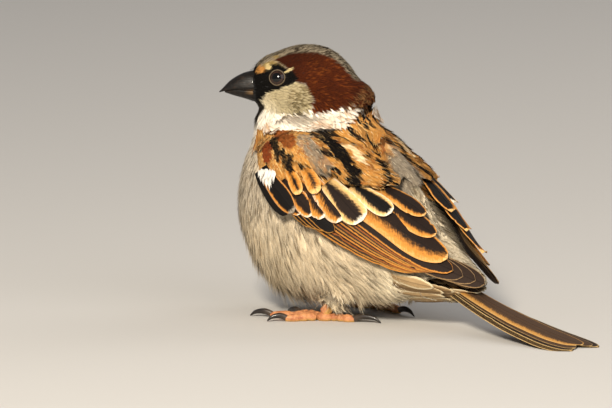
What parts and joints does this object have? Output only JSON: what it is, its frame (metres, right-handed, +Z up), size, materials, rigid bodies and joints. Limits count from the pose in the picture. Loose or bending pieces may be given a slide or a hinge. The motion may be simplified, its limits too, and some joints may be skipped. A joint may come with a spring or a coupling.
{
  "type": "house sparrow",
  "caption": "Life-size adult male house sparrow, standing fluffed with its head turned to its left, wings folded, and tail tip on the ground.",
  "frame": {"origin": "on the ground, under the middle of the bird's bounding box", "axes": "+Z up; the body faces -X, its left side is -Y, and the tail points to +X"},
  "size_m": [0.1148, 0.0484, 0.0703],
  "materials": {
    "head_plumage": "soft matt plumage: grey-brown crown, chestnut band, black lores and bib, off-white cheek",
    "body_plumage": "soft matt plumage: whitish grey-buff breast and belly, streaked brown back",
    "wing_plumage": "satin feather vanes, black-brown with rufous and buff edges",
    "tail_plumage": "satin feather vanes, dark brown with pale buff edges",
    "bill": "smooth black horn with a soft shine",
    "eye": "wet, very dark brown",
    "leg_skin": "scaly pinkish-brown skin with yellowish pads",
    "claw": "smooth black-brown horn"
  },
  "bodies": {
    "root": {"bill_lower": "bill", "bill_upper": "bill", "claw_left_hind": "claw", "claw_left_inner": "claw", "claw_left_middle": "claw", "claw_left_outer": "claw", "claw_right_hind": "claw", "claw_right_inner": "claw", "claw_right_middle": "claw", "claw_right_outer": "claw", "eye_left": "eye", "eye_right": "eye", "head": "head_plumage", "neck": "head_plumage", "tail_centre": "tail_plumage", "tail_left": "tail_plumage", "tail_right": "tail_plumage", "tarsus_left": "leg_skin", "tarsus_right": "leg_skin", "thigh_left": "body_plumage", "thigh_right": "body_plumage", "toe_left_hind": "leg_skin", "toe_left_inner": "leg_skin", "toe_left_middle": "leg_skin", "toe_left_outer": "leg_skin", "toe_right_hind": "leg_skin", "toe_right_inner": "leg_skin", "toe_right_middle": "leg_skin", "toe_right_outer": "leg_skin", "trunk": "body_plumage", "wing_left_alula": "wing_plumage", "wing_left_arm": "wing_plumage", "wing_left_greater_coverts": "wing_plumage", "wing_left_primaries": "wing_plumage", "wing_left_scapulars": "wing_plumage", "wing_left_secondaries": "wing_plumage", "wing_left_tertials": "wing_plumage", "wing_right_alula": "wing_plumage", "wing_right_arm": "wing_plumage", "wing_right_greater_coverts": "wing_plumage", "wing_right_primaries": "wing_plumage", "wing_right_scapulars": "wing_plumage", "wing_right_secondaries": "wing_plumage", "wing_right_tertials": "wing_plumage"}
  },
  "joints": []
}
